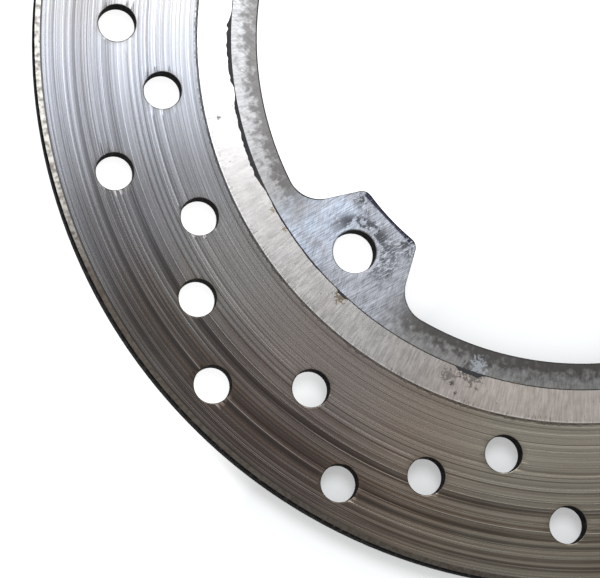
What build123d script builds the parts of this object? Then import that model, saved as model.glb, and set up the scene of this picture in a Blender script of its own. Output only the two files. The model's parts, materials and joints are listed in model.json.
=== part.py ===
from build123d import *

import math
import os

# Rear brake disc rotor of a motorcycle: one flat piece of stainless steel.
# A ring-shaped blade carries the band that the pads grip, a raised hub seat lines its inside,
# and five lugs reach in from the seat to the hub's bolts and spigot.
# Frame: +Z along the wheel's axle, the origin at the middle of the disc and halfway through it,
# and one lug on +X. Angles run counter-clockwise as seen from +Z. All sizes are in millimetres.

# Mounting on the wheel hub
LUG_COUNT = 5
BOLT_PCD = 125.0            # circle of the mounting bolts
BOLT_HOLE_D = 8.7           # clearance for an M8 bolt
BOLT_HOLE_CHAMFER = 0.45

# Mounting lugs
LUG_REACH = 10.0            # from the bolt circle in to the tip, which is an arc round the hub's spigot
LUG_TIP_W = 14.9            # width between the tip's sharp corners
LUG_FLANK_DEG = 30.0        # lean of each flank off the lug's centre line
LUG_TIP_FILLET = 2.2
LUG_ROOT_FILLET = 6.5

# Hub seat: a raised ring on both faces, which the hub and the bolt heads clamp with the lugs
SEAT_GAP = 2.5              # from the bolt circle out to the ring's bore between the lugs
SEAT_W = 5.3                # width of the ring between the lugs
SEAT_RISE = 0.15            # its height above each face of the blade
INNER_EDGE_BREAK = 0.3      # chamfer round the whole inner outline, lugs included

# Blade
OUTER_D = 220.0             # outside of the disc
BLADE_T = 5.0               # thickness where no pad has worn it
RIM_CHAMFER = 0.4           # on both outer edges

# Band swept by the pads, worn below both faces of the blade
INNER_LAND_W = 6.7          # unworn ring between the seat and the band
OUTER_LAND_W = 1.4          # unworn ring between the band and the rim
WEAR_DEPTH = 0.15           # worn off each face
WEAR_SLOPE = 0.4            # radial width of the slope at each edge of the band

# Vent holes, drilled through the swept band on evenly spaced circles
VENT_D = 7.5
VENT_CHAMFER = 0.25
VENT_INNER_WALL = 3.95      # steel between the innermost holes and the band's inner edge
VENT_OUTER_WALL = 3.15      # steel between the outermost holes and the band's outer edge
VENT_ROWS = (4, 1, 4, 2, 0, 3, 0, 2)   # circle of each hole, counter-clockwise from a lug

# Drawing aids
CUT_MARGIN = 1.0            # how far a cut shape runs past the line that it is cut at
TOLERANCE = 0.001           # for picking corners and edges by their place

# Worked out from the sizes above
BOLT_R = BOLT_PCD / 2
TIP_R = BOLT_R - LUG_REACH
SEAT_INNER_R = BOLT_R + SEAT_GAP
SEAT_R = SEAT_INNER_R + SEAT_W
SEAT_T = BLADE_T + 2 * SEAT_RISE
RIM_R = OUTER_D / 2
SWEPT_INNER_R = SEAT_R + INNER_LAND_W
SWEPT_OUTER_R = RIM_R - OUTER_LAND_W
SWEPT_T = BLADE_T - 2 * WEAR_DEPTH
VENT_FIRST_R = SWEPT_INNER_R + VENT_INNER_WALL + VENT_D / 2
VENT_LAST_R = SWEPT_OUTER_R - VENT_OUTER_WALL - VENT_D / 2
VENT_ROW_STEP = (VENT_LAST_R - VENT_FIRST_R) / max(VENT_ROWS)
LUG_PITCH_DEG = 360 / LUG_COUNT
VENT_PITCH_DEG = LUG_PITCH_DEG / len(VENT_ROWS)


def blade_half_section():
    """Upper half of the blade's cross-section, as (radius, height) points from inside to rim."""
    face = BLADE_T / 2
    worn = SWEPT_T / 2
    return [
        (SEAT_R, face),
        (SWEPT_INNER_R, face),
        (SWEPT_INNER_R + WEAR_SLOPE, worn),
        (SWEPT_OUTER_R - WEAR_SLOPE, worn),
        (SWEPT_OUTER_R, face),
        (RIM_R - RIM_CHAMFER, face),
        (RIM_R, face - RIM_CHAMFER),
    ]


def blade():
    """The blade's ring, turned from its cross-section."""
    upper = blade_half_section()
    lower = [(radius, -height) for radius, height in reversed(upper)]
    section = make_face(Plane.XZ * Polyline(*upper, *lower, close=True))
    return revolve(section, axis=Axis.Z)


def lug_wedge():
    """One lug's outline before its corners are rounded: two leaning flanks across the seat."""
    tip = math.sqrt(TIP_R ** 2 - (LUG_TIP_W / 2) ** 2)

    def half_width(reach):
        return LUG_TIP_W / 2 + (reach - tip) * math.tan(math.radians(LUG_FLANK_DEG))

    inside = tip - CUT_MARGIN
    outside = SEAT_R + CUT_MARGIN
    wedge = make_face(Polyline(
        (inside, -half_width(inside)),
        (outside, -half_width(outside)),
        (outside, half_width(outside)),
        (inside, half_width(inside)),
        close=True,
    ))
    return wedge & (Circle(SEAT_R) - Circle(TIP_R))


def corners_at(outline, radius):
    """The outline's corners that lie on a circle round the origin."""
    return [
        corner for corner in outline.vertices()
        if abs(math.hypot(corner.X, corner.Y) - radius) < TOLERANCE
    ]


def inner_edges(seat):
    """Every edge of the seat's two faces apart from the seat's own outer circles."""
    chosen = []
    for edge in seat.edges():
        middle = edge.position_at(0.5)
        on_a_face = abs(abs(middle.Z) - SEAT_T / 2) < TOLERANCE
        if on_a_face and math.hypot(middle.X, middle.Y) < SEAT_R - TOLERANCE:
            chosen.append(edge)
    return chosen


def hub_seat():
    """The raised seat with its five lugs, rounded at their tips and roots."""
    outline = Circle(SEAT_R) - Circle(SEAT_INNER_R)
    outline += PolarLocations(0, LUG_COUNT) * lug_wedge()
    outline = fillet(corners_at(outline, TIP_R), LUG_TIP_FILLET)
    outline = fillet(corners_at(outline, SEAT_INNER_R), LUG_ROOT_FILLET)
    seat = extrude(outline, amount=SEAT_T / 2, both=True)
    return chamfer(inner_edges(seat), INNER_EDGE_BREAK)


def drill(diameter, thickness, edge_chamfer):
    """Cutter for a through hole, opened by a chamfer at both faces of a plate that thick."""
    radius = diameter / 2
    face = thickness / 2
    mouth = radius + edge_chamfer
    half = [
        (0, face + edge_chamfer),
        (mouth + edge_chamfer, face + edge_chamfer),
        (mouth, face),
        (radius, face - edge_chamfer),
    ]
    mirrored = [(reach, -height) for reach, height in reversed(half)]
    return revolve(make_face(Plane.XZ * Polyline(*half, *mirrored, close=True)), axis=Axis.Z)


def vent_holes():
    """Cutters for the vent holes: one run of circles for each lug, evenly spaced all round."""
    cutter = drill(VENT_D, SWEPT_T, VENT_CHAMFER)
    return [
        Rot(0, 0, (lug * len(VENT_ROWS) + step) * VENT_PITCH_DEG)
        * Pos(VENT_FIRST_R + row * VENT_ROW_STEP, 0, 0) * cutter
        for lug in range(LUG_COUNT)
        for step, row in enumerate(VENT_ROWS)
    ]


def bolt_holes():
    """Cutters for the mounting bolts, one through the middle of each lug."""
    cutter = drill(BOLT_HOLE_D, SEAT_T, BOLT_HOLE_CHAMFER)
    return [
        Rot(0, 0, lug * LUG_PITCH_DEG) * Pos(BOLT_R, 0, 0) * cutter
        for lug in range(LUG_COUNT)
    ]


def rotor():
    """The whole disc as one solid."""
    blank = blade() + hub_seat()
    return blank - (vent_holes() + bolt_holes())


os.makedirs("parts", exist_ok=True)
disc = rotor()
disc.label = "rotor"
export_step(disc, "parts/rotor.step")
print(f"rotor: {len(disc.solids())} solid, {disc.volume / 1000:.2f} cm3")
print(f"size: {disc.bounding_box().size}")
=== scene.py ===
"""Looks of a motorcycle's rear brake disc rotor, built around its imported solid.

The disc lies flat, with +Z along the wheel's axle and one mounting lug on +X. Lengths are in metres,
and the values named in millimetres are turned into metres by MM.
"""

import json
import logging
import math
from dataclasses import dataclass
from enum import Enum
from typing import Callable, Iterable, Sequence

import bmesh
import bpy
from mathutils import Matrix, Vector, noise


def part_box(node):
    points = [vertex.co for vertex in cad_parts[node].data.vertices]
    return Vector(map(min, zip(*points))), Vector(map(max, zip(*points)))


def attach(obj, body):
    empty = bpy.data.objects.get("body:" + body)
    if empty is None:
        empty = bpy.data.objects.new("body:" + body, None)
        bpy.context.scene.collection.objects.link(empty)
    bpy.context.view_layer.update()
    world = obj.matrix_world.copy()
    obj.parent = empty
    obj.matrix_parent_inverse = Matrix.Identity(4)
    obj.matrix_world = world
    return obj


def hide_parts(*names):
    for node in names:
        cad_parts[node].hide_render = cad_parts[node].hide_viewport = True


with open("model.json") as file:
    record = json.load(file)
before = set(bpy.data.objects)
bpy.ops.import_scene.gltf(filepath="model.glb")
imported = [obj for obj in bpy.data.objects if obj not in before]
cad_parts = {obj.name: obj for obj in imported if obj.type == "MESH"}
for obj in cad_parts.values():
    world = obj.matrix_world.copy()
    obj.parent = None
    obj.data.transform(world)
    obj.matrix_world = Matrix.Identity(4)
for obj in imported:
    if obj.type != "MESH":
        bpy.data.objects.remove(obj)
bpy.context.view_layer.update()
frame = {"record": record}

MM = 0.001
LEVEL = 0.9999  # A face whose normal stands this upright is flat and lies level.
SAME_HEIGHT = 1e-7  # Heights nearer than this are one height.
SAME_RADIUS = 1e-6  # Radii nearer than this are one radius.
NOISE_RANGE = (0.3, 0.7)  # Nearly all of a noise lies between these two values.
LOG = logging.getLogger("rotor")


# ---------------------------------------------------------------------------------------------
# Sizes
# ---------------------------------------------------------------------------------------------


@dataclass(frozen=True)
class Score:
    """One groove or ridge that a pad has cut right round the swept band.

    Attributes:
        radius: Where its middle runs, in mm from the axle.
        width: Its width in mm.
        depth: How deep it is in mm. A ridge has a negative depth.
    """

    radius: float
    width: float
    depth: float


SCORES = (
    Score(78.6, 0.5, 0.008),
    Score(80.4, 0.6, 0.006),
    Score(82.9, 0.4, 0.006),
    Score(84.3, 0.4, -0.004),
    Score(85.6, 0.6, 0.011),
    Score(87.5, 0.6, 0.018),
    Score(88.5, 0.4, -0.006),
    Score(90.3, 0.6, 0.010),
    Score(91.4, 0.4, 0.008),
    Score(93.3, 0.4, -0.006),
    Score(94.5, 0.4, -0.008),
    Score(95.9, 1.1, 0.024),
    Score(97.5, 0.6, 0.015),
    Score(98.6, 0.6, 0.016),
    Score(99.6, 0.4, -0.008),
    Score(100.8, 0.9, 0.025),
    Score(102.5, 1.5, 0.028),
    Score(103.8, 0.7, 0.020),
    Score(105.0, 0.5, -0.008),
    Score(106.3, 0.9, 0.021),
    Score(107.6, 0.4, 0.008),
)


@dataclass(frozen=True)
class DiscSizes:
    """Sizes of the disc in metres. The frame gives the overall ones, the rest are set here."""

    rim_r: float
    seat_face: float
    bolt_r: float
    bolt_hole_r: float
    lugs: int
    seat_rise: float = 0.15 * MM
    wear_depth: float = 0.15 * MM
    wear_slope: float = 0.4 * MM
    rim_chamfer: float = 0.4 * MM
    edge_break: float = 0.3 * MM
    lug_reach: float = 10.0 * MM
    lug_tip_half: float = 7.45 * MM
    lug_flank: float = math.radians(30)
    tip_fillet: float = 2.2 * MM
    root_fillet: float = 6.5 * MM
    seat_gap: float = 2.5 * MM
    seat_width: float = 5.3 * MM
    inner_land: float = 6.7 * MM
    outer_land: float = 1.4 * MM
    vent_hole_r: float = 3.75 * MM
    vent_inner_wall: float = 3.95 * MM
    vent_outer_wall: float = 3.15 * MM
    vent_rows: tuple[int, ...] = (4, 1, 4, 2, 0, 3, 0, 2)

    @classmethod
    def from_frame(cls) -> "DiscSizes":
        """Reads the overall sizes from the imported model.

        Returns:
            The sizes of this disc.
        """
        low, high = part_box("rotor")
        bolts = next(m for m in frame["record"]["mounts"] if m["kind"] == "bolt_pattern")
        return cls(
            rim_r=min(high.x, -low.x, high.y, -low.y),
            seat_face=high.z,
            bolt_r=bolts["dims"]["pcd_mm"] / 2 * MM,
            bolt_hole_r=bolts["dims"]["hole_r_mm"] * MM,
            lugs=bolts["dims"]["count"],
        )

    @property
    def blade_face(self) -> float:
        """Height of the unworn blade's face."""
        return self.seat_face - self.seat_rise

    @property
    def swept_face(self) -> float:
        """Height of the worn band's face."""
        return self.blade_face - self.wear_depth

    @property
    def tip_r(self) -> float:
        """Radius of the arc on which the lugs' tips lie."""
        return self.bolt_r - self.lug_reach

    @property
    def bore_r(self) -> float:
        """Radius of the seat ring's bore between the lugs."""
        return self.bolt_r + self.seat_gap

    @property
    def seat_r(self) -> float:
        """Radius of the seat's outer edge."""
        return self.bore_r + self.seat_width

    @property
    def swept_inner_r(self) -> float:
        """Radius at which the pads' band starts."""
        return self.seat_r + self.inner_land

    @property
    def swept_outer_r(self) -> float:
        """Radius at which the pads' band ends."""
        return self.rim_r - self.outer_land

    def vent_places(self) -> list[tuple[float, float]]:
        """Works out where the vent holes are.

        Returns:
            The radius and angle of each hole, counter-clockwise from the first lug.
        """
        first = self.swept_inner_r + self.vent_inner_wall + self.vent_hole_r
        last = self.swept_outer_r - self.vent_outer_wall - self.vent_hole_r
        step = (last - first) / max(self.vent_rows)
        pitch = math.tau / (self.lugs * len(self.vent_rows))
        rows = self.vent_rows * self.lugs
        return [(first + row * step, index * pitch) for index, row in enumerate(rows)]

    def bolt_places(self) -> list[tuple[float, float]]:
        """Gives the radius and angle of each bolt hole."""
        return [(self.bolt_r, math.tau * lug / self.lugs) for lug in range(self.lugs)]


# ---------------------------------------------------------------------------------------------
# Shaping in edit mode
# ---------------------------------------------------------------------------------------------


class Bench:
    """Adds primitives and shapes them in edit mode, with every selection made in code."""

    @staticmethod
    def clear() -> None:
        """Deselects every object."""
        bpy.ops.object.select_all(action="DESELECT")

    @staticmethod
    def take(piece: bpy.types.Object) -> None:
        """Makes one object the only selected and active one."""
        Bench.clear()
        piece.select_set(True)
        bpy.context.view_layer.objects.active = piece

    @staticmethod
    def open(kind: str = "VERT") -> None:
        """Enters edit mode with vertices, edges or faces to pick."""
        bpy.ops.object.mode_set(mode="EDIT")
        bpy.ops.mesh.select_mode(type=kind)

    @staticmethod
    def close() -> None:
        """Leaves edit mode."""
        bpy.ops.object.mode_set(mode="OBJECT")

    @staticmethod
    def pick_points(piece: bpy.types.Object, test: Callable[[Vector], bool]) -> int:
        """Selects the vertices that pass a test, and nothing else.

        Args:
            piece: The object that is open in edit mode.
            test: Says of a vertex's place whether it is wanted.

        Returns:
            How many vertices were picked.
        """
        mesh = bmesh.from_edit_mesh(piece.data)
        for part in (*mesh.faces, *mesh.edges):
            part.select = False
        for vertex in mesh.verts:
            vertex.select = test(vertex.co)
        mesh.select_flush_mode()
        bmesh.update_edit_mesh(piece.data)
        return sum(vertex.select for vertex in mesh.verts)

    @staticmethod
    def pick_edges(piece: bpy.types.Object, test: Callable[[Vector, Vector], bool]) -> int:
        """Selects the edges whose two ends pass a test, and nothing else.

        Args:
            piece: The object that is open in edit mode, with edges to pick.
            test: Says of an edge's two ends whether it is wanted.

        Returns:
            How many edges were picked.
        """
        mesh = bmesh.from_edit_mesh(piece.data)
        for part in (*mesh.faces, *mesh.edges, *mesh.verts):
            part.select = False
        wanted = [edge for edge in mesh.edges if test(edge.verts[0].co, edge.verts[1].co)]
        for edge in wanted:
            edge.select_set(True)
        bmesh.update_edit_mesh(piece.data)
        return len(wanted)

    @staticmethod
    def step_out(start: tuple[float, float], end: tuple[float, float]) -> None:
        """Extrudes the selected ring of edges to another radius and height.

        Args:
            start: Radius and height of the selected ring.
            end: Radius and height of the new ring.
        """
        rise = (0, 0, end[1] - start[1])
        bpy.ops.mesh.extrude_edges_move(TRANSFORM_OT_translate={"value": rise})
        if end[0] != start[0]:
            grow = end[0] / start[0]
            bpy.ops.transform.resize(value=(grow, grow, 1), center_override=(0, 0, 0))

    @staticmethod
    def turn_loops(path: Sequence[tuple[float, float]]) -> None:
        """Extrudes the selected ring along a path of (radius, height) points."""
        for start, end in zip(path, path[1:]):
            Bench.step_out(start, end)

    @staticmethod
    def face_outwards() -> None:
        """Turns every face of the open mesh outwards."""
        bpy.ops.mesh.select_all(action="SELECT")
        bpy.ops.mesh.normals_make_consistent(inside=False)

    @staticmethod
    def apply(piece: bpy.types.Object, kind: str, **settings: object) -> None:
        """Adds a modifier to a piece, sets it and applies it.

        Args:
            piece: The object to work on.
            kind: The modifier's type.
            settings: The modifier's settings by name.
        """
        Bench.take(piece)
        modifier = piece.modifiers.new(kind.lower(), kind)
        for name, value in settings.items():
            setattr(modifier, name, value)
        bpy.ops.object.modifier_apply(modifier=modifier.name)

    @staticmethod
    def smooth(piece: bpy.types.Object, angle: float) -> None:
        """Shades a piece smooth apart from edges sharper than an angle in degrees."""
        Bench.take(piece)
        bpy.ops.object.shade_smooth_by_angle(angle=math.radians(angle))

    @staticmethod
    def join(pieces: Sequence[bpy.types.Object]) -> bpy.types.Object:
        """Joins several objects into the first one and returns it."""
        Bench.take(pieces[0])
        for piece in pieces:
            piece.select_set(True)
        bpy.ops.object.join()
        return pieces[0]


# ---------------------------------------------------------------------------------------------
# The disc
# ---------------------------------------------------------------------------------------------


@dataclass(frozen=True)
class Arc:
    """An arc of the lug's outline, turned about a centre."""

    centre: tuple[float, float]
    turn: float
    steps: int


class LugOutline:
    """Works out the arcs of half a lug and half a bay, from the tip's middle to the bay's."""

    def __init__(self, sizes: DiscSizes) -> None:
        """Places both fillets between the lug's flank and the two circles round the axle."""
        self.sizes = sizes
        reach = math.sqrt(sizes.tip_r**2 - sizes.lug_tip_half**2)
        along = Vector((math.cos(sizes.lug_flank), math.sin(sizes.lug_flank)))
        away = Vector((-along.y, along.x))
        corner = Vector((reach, sizes.lug_tip_half))
        self.tip_centre = self._on_circle(
            corner - away * sizes.tip_fillet, along, sizes.tip_r + sizes.tip_fillet
        )
        self.root_centre = self._on_circle(
            corner + away * sizes.root_fillet, along, sizes.bore_r - sizes.root_fillet
        )
        self.tip_end = self.tip_centre + away * sizes.tip_fillet
        self.root_start = self.root_centre - away * sizes.root_fillet
        self.away = away

    @staticmethod
    def _on_circle(start: Vector, along: Vector, radius: float) -> Vector:
        """Slides a point along a line until it lies on a circle round the axle."""
        lead = start.dot(along)
        return start + along * (-lead + math.sqrt(lead**2 - start.length_squared + radius**2))

    @staticmethod
    def _angle(point: Vector) -> float:
        """Gives a point's angle round the axle."""
        return math.atan2(point.y, point.x)

    def arcs(self) -> tuple[list[Arc], list[Arc]]:
        """Gives the arcs before the straight flank and those after it.

        Returns:
            Two lists of arcs, in order along the outline.
        """
        axle = (0.0, 0.0)
        tip_angle = self._angle(self.tip_centre)
        root_angle = self._angle(self.root_centre)
        flank_side = self._angle(self.away)
        half_pitch = math.pi / self.sizes.lugs
        before = [
            Arc(axle, tip_angle, 5),
            Arc(tuple(self.tip_centre), flank_side - (tip_angle + math.pi), 7),
        ]
        after = [
            Arc(tuple(self.root_centre), root_angle - (flank_side - math.pi), 11),
            Arc(axle, half_pitch - root_angle, 11),
        ]
        return before, after


@dataclass
class Disc:
    """The disc itself: turned blade, hub seat with lugs, and all its holes."""

    sizes: DiscSizes
    vent_sides: int = 40
    bolt_sides: int = 48
    hole_edge: float = 0.22 * MM
    edge_steps: int = 3

    def build(self) -> bpy.types.Object:
        """Models the whole disc.

        Returns:
            The finished disc as one closed mesh.
        """
        piece = self._outline()
        self._turn_blade(piece)
        self._break_inner_edges(piece)
        self._drill(piece)
        Bench.smooth(piece, 28)
        for face in piece.data.polygons:
            if abs(face.normal.z) > LEVEL:
                face.use_smooth = False
        Bench.apply(piece, "WEIGHTED_NORMAL", keep_sharp=True, weight=80)
        return piece

    def _outline(self) -> bpy.types.Object:
        """Draws the inner outline, lugs and bays, as one ring of edges at the seat's lower face."""
        sizes = self.sizes
        Bench.clear()
        bpy.ops.mesh.primitive_plane_add(size=sizes.tip_r * 2)
        piece = bpy.context.object
        piece.name = "rotor_disc"
        Bench.open()
        corner = sizes.tip_r
        Bench.pick_points(piece, lambda p: p.x < 0 or p.y < 0)
        bpy.ops.mesh.delete(type="VERT")
        bpy.ops.mesh.select_all(action="SELECT")
        bpy.ops.transform.translate(value=(0, -corner, -sizes.seat_face))
        self._draw_half(piece)
        bpy.ops.mesh.select_all(action="SELECT")
        bpy.ops.mesh.duplicate()
        bpy.ops.transform.resize(value=(1, -1, 1), center_override=(0, 0, 0))
        self._repeat_round(piece)
        return piece

    def _draw_half(self, piece: bpy.types.Object) -> None:
        """Spins and extrudes the point on the tip along half a lug and half a bay."""
        outline = LugOutline(self.sizes)
        before, after = outline.arcs()
        for arc in before:
            self._spin(arc)
        flank = outline.root_start - outline.tip_end
        for _ in range(2):
            bpy.ops.mesh.extrude_vertices_move(
                TRANSFORM_OT_translate={"value": (flank.x / 2, flank.y / 2, 0)}
            )
        for arc in after:
            self._spin(arc)

    def _spin(self, arc: Arc) -> None:
        """Spins the selected point along one arc and leaves its end selected."""
        bpy.ops.mesh.spin(
            steps=arc.steps,
            angle=-arc.turn,
            center=(*arc.centre, -self.sizes.seat_face),
            axis=(0, 0, 1),
        )

    def _repeat_round(self, piece: bpy.types.Object) -> None:
        """Copies one lug and its two half bays to every lug's place and closes the ring."""
        mesh = bmesh.from_edit_mesh(piece.data)
        pitch = math.tau / self.sizes.lugs
        first = list(mesh.verts) + list(mesh.edges)
        for lug in range(1, self.sizes.lugs):
            copied = bmesh.ops.duplicate(mesh, geom=first)["geom"]
            moved = [part for part in copied if isinstance(part, bmesh.types.BMVert)]
            turn = Matrix.Rotation(lug * pitch, 3, "Z")
            bmesh.ops.rotate(mesh, verts=moved, cent=(0, 0, 0), matrix=turn)
        bmesh.update_edit_mesh(piece.data)
        bpy.ops.mesh.select_all(action="SELECT")
        bpy.ops.mesh.remove_doubles(threshold=0.02 * MM)

    def profile(self) -> list[tuple[float, float]]:
        """Gives the upper face's section from the seat's edge to the rim.

        Returns:
            Points of (radius, height), in metres.
        """
        sizes = self.sizes
        blade, worn = sizes.blade_face, sizes.swept_face
        soft = 0.06 * MM
        points = [
            (sizes.seat_r - soft, sizes.seat_face),
            (sizes.seat_r, sizes.seat_face - soft),
            (sizes.seat_r + soft / 2, blade),
            (sizes.seat_r + sizes.inner_land / 2, blade),
            (sizes.swept_inner_r, blade),
            (sizes.swept_inner_r + sizes.wear_slope, worn),
        ]
        for score in SCORES:
            middle, half, depth = score.radius * MM, score.width * MM / 2, score.depth * MM
            points += [
                (middle - half, worn),
                (middle - half / 3, worn - depth),
                (middle + half / 4, worn - depth * 0.8),
                (middle + half, worn),
            ]
        points += [
            (sizes.swept_outer_r - sizes.wear_slope, worn),
            (sizes.swept_outer_r, blade),
            (sizes.rim_r - sizes.rim_chamfer, blade),
            (sizes.rim_r - sizes.rim_chamfer * 0.3, blade - sizes.rim_chamfer * 0.3),
            (sizes.rim_r, blade - sizes.rim_chamfer),
        ]
        return points

    def _turn_blade(self, piece: bpy.types.Object) -> None:
        """Raises the outline's wall and turns both faces and the rim outwards from it."""
        sizes = self.sizes
        upper = self.profile()
        lower = [(radius, -height) for radius, height in reversed(upper)]
        height = 2 * sizes.seat_face
        bpy.ops.mesh.select_mode(type="EDGE")
        bpy.ops.mesh.select_all(action="SELECT")
        bpy.ops.mesh.extrude_edges_move(TRANSFORM_OT_translate={"value": (0, 0, height)})
        bpy.ops.mesh.extrude_edges_move(TRANSFORM_OT_translate={"value": (0, 0, 0)})
        self._round_off(piece, upper[0][0])
        Bench.turn_loops(upper + lower)
        Bench.pick_edges(piece, self._is_open_rim)
        bpy.ops.mesh.bridge_edge_loops()
        Bench.face_outwards()

    def _round_off(self, piece: bpy.types.Object, radius: float) -> None:
        """Moves the selected points straight out from the axle on to one circle."""
        mesh = bmesh.from_edit_mesh(piece.data)
        for vertex in mesh.verts:
            if vertex.select:
                flat = Vector((vertex.co.x, vertex.co.y)).normalized() * radius
                vertex.co = (flat.x, flat.y, vertex.co.z)
        bmesh.update_edit_mesh(piece.data)

    def _is_open_rim(self, one: Vector, other: Vector) -> bool:
        """Tells the lower outline and the last turned ring, which are still to be joined."""
        edge_r = self.profile()[0][0]
        level = all(abs(p.z + self.sizes.seat_face) < SAME_HEIGHT for p in (one, other))
        reaches = [math.hypot(p.x, p.y) for p in (one, other)]
        outer = all(abs(reach - edge_r) < SAME_RADIUS for reach in reaches)
        inner = all(reach < edge_r - 1e-4 for reach in reaches)
        return level and (outer or inner)

    def _break_inner_edges(self, piece: bpy.types.Object) -> None:
        """Bevels both edges of the inner outline, round the lugs and the bays."""
        sizes = self.sizes

        def on_outline(one: Vector, other: Vector) -> bool:
            level = abs(one.z - other.z) < SAME_HEIGHT and abs(abs(one.z) - sizes.seat_face) < SAME_HEIGHT
            inside = all(math.hypot(p.x, p.y) < sizes.bore_r + 1e-5 for p in (one, other))
            return level and inside

        picked = Bench.pick_edges(piece, on_outline)
        LOG.info("edge break runs along %d edges", picked)
        bpy.ops.mesh.bevel(offset=sizes.edge_break, segments=2, profile=0.5, affect="EDGES")
        Bench.close()

    def _cutter(self, radius: float, face: float, sides: int) -> bpy.types.Object:
        """Models the tool for a through hole with rounded mouths, standing on the axle.

        Args:
            radius: Radius of the hole.
            face: Height of the face that it opens in, above the middle of the disc.
            sides: Number of sides of the hole.

        Returns:
            The closed cutter.
        """
        edge = self.hole_edge
        turns = [math.pi / 2 * step / self.edge_steps for step in range(self.edge_steps + 1)]
        wall = [
            (radius + edge * (1 - math.cos(turn)), face - edge * (1 - math.sin(turn)))
            for turn in turns
        ]
        upper = [*wall, (radius + 2 * edge, face + edge)]
        path = [(reach, -height) for reach, height in reversed(upper)] + upper
        Bench.clear()
        bpy.ops.mesh.primitive_circle_add(
            vertices=sides, radius=path[0][0], fill_type="NGON", location=(0, 0, path[0][1])
        )
        piece = bpy.context.object
        bpy.ops.object.transform_apply(location=True, rotation=True, scale=True)
        Bench.open("EDGE")
        bpy.ops.mesh.select_all(action="SELECT")
        Bench.turn_loops(path)
        bpy.ops.mesh.edge_face_add()
        Bench.face_outwards()
        Bench.close()
        return piece

    def _drill(self, piece: bpy.types.Object) -> None:
        """Drills the vent holes and the bolt holes."""
        sizes = self.sizes
        vent = self._cutter(sizes.vent_hole_r, sizes.swept_face, self.vent_sides)
        bolt = self._cutter(sizes.bolt_hole_r, sizes.seat_face, self.bolt_sides)
        drills = []
        for tool, places in ((vent, sizes.vent_places()), (bolt, sizes.bolt_places())):
            for radius, angle in places:
                copied = tool.copy()
                copied.data = tool.data.copy()
                place = Matrix.Rotation(angle, 4, "Z") @ Matrix.Translation((radius, 0, 0))
                copied.data.transform(place)
                bpy.context.scene.collection.objects.link(copied)
                drills.append(copied)
            bpy.data.objects.remove(tool)
        cutters = Bench.join(drills)
        Bench.apply(piece, "BOOLEAN", operation="DIFFERENCE", solver="EXACT", object=cutters)
        bpy.data.objects.remove(cutters)


# ---------------------------------------------------------------------------------------------
# Finishes
# ---------------------------------------------------------------------------------------------

Socket = bpy.types.NodeSocket
Value = float | Socket
Colour = tuple[float, float, float]


class Op(Enum):
    """Sums that a material works out at each point of a surface."""

    ADD = "ADD"
    SUBTRACT = "SUBTRACT"
    MULTIPLY = "MULTIPLY"
    DIVIDE = "DIVIDE"
    HIGHER = "MAXIMUM"
    LOWER = "MINIMUM"
    ROOT = "SQRT"
    SIZE = "ABSOLUTE"
    SIGN = "SIGN"
    ANGLE = "ARCTAN2"
    WHOLE = "ROUND"
    SINE = "SINE"
    COSINE = "COSINE"


class Brushing(Enum):
    """Which way a surface's finest scratches run, as a turn of the gloss from the circles."""

    ROUND = 0.25
    RADIAL = 0.0


@dataclass(frozen=True)
class TintAndLight:
    """A colour that the steel leans to in one direction from the axle, as a tint and as painted light and
    shade.

    Attributes:
        angle: The direction in degrees from +X.
        fade: How many degrees to either side it takes to fade out.
        colour: The tint, as factors of the steel's own colour; their brightening or darkening is painted
            light and shade.
    """

    angle: float
    fade: float
    colour: Colour


@dataclass(frozen=True)
class Stain:
    """A ragged spot on the upper face.

    Attributes:
        radius: Distance of its middle from the axle, in mm.
        angle: Direction of its middle from +X, in degrees.
        size: Its radius in mm.
        colour: Its own colour.
        cover: How much of the steel's colour it hides.
        seed: Sets its outline apart. Without one, its radius does that.
    """

    radius: float
    angle: float
    size: float
    colour: Colour
    cover: float = 0.85
    seed: float | None = None


class Wiring:
    """Nodes of a material or of the world, added and linked by short calls."""

    ENDS = ("Value", "From Min", "From Max", "To Min", "To Max")

    def __init__(self, owner: bpy.types.Material | bpy.types.World) -> None:
        """Starts with no nodes."""
        owner.use_nodes = True
        self.nodes = owner.node_tree.nodes
        self.links = owner.node_tree.links
        self.nodes.clear()

    def node(self, kind: str, **settings: object) -> bpy.types.Node:
        """Adds a node of a kind, sets it by name and returns it."""
        node = self.nodes.new("ShaderNode" + kind)
        for name, value in settings.items():
            setattr(node, name, value)
        return node

    def feed(self, socket: Socket, value: object) -> None:
        """Links or sets one input."""
        if isinstance(value, bpy.types.NodeSocket):
            self.links.new(value, socket)
        else:
            socket.default_value = value

    def calc(self, op: Op, *values: Value, clamp: bool = False) -> Socket:
        """Does one sum and returns its result."""
        node = self.node("Math", operation=op.value, use_clamp=clamp)
        for socket, value in zip(node.inputs, values):
            self.feed(socket, value)
        return node.outputs[0]

    def spread(self, node: bpy.types.Node, values: Iterable[Value]) -> Socket:
        """Sets the value and the ends of both ranges of a Map Range node."""
        for name, value in zip(self.ENDS, values):
            self.feed(node.inputs[name], value)
        return node.outputs["Result"]

    def either(self, share: Socket, first: Socket, second: Socket) -> Socket:
        """Mixes two shaders, from the first at 0 to the second at 1."""
        node = self.node("MixShader")
        for socket, value in zip(node.inputs, (share, first, second)):
            self.feed(socket, value)
        return node.outputs[0]

    def seen(self) -> Socket:
        """Gives 1 to rays that show the background: from the camera, off metal and through glass."""
        path = self.node("LightPath").outputs
        straight = self.calc(Op.HIGHER, path["Is Camera Ray"], path["Is Glossy Ray"])
        return self.calc(Op.HIGHER, straight, path["Is Transmission Ray"])


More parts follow.
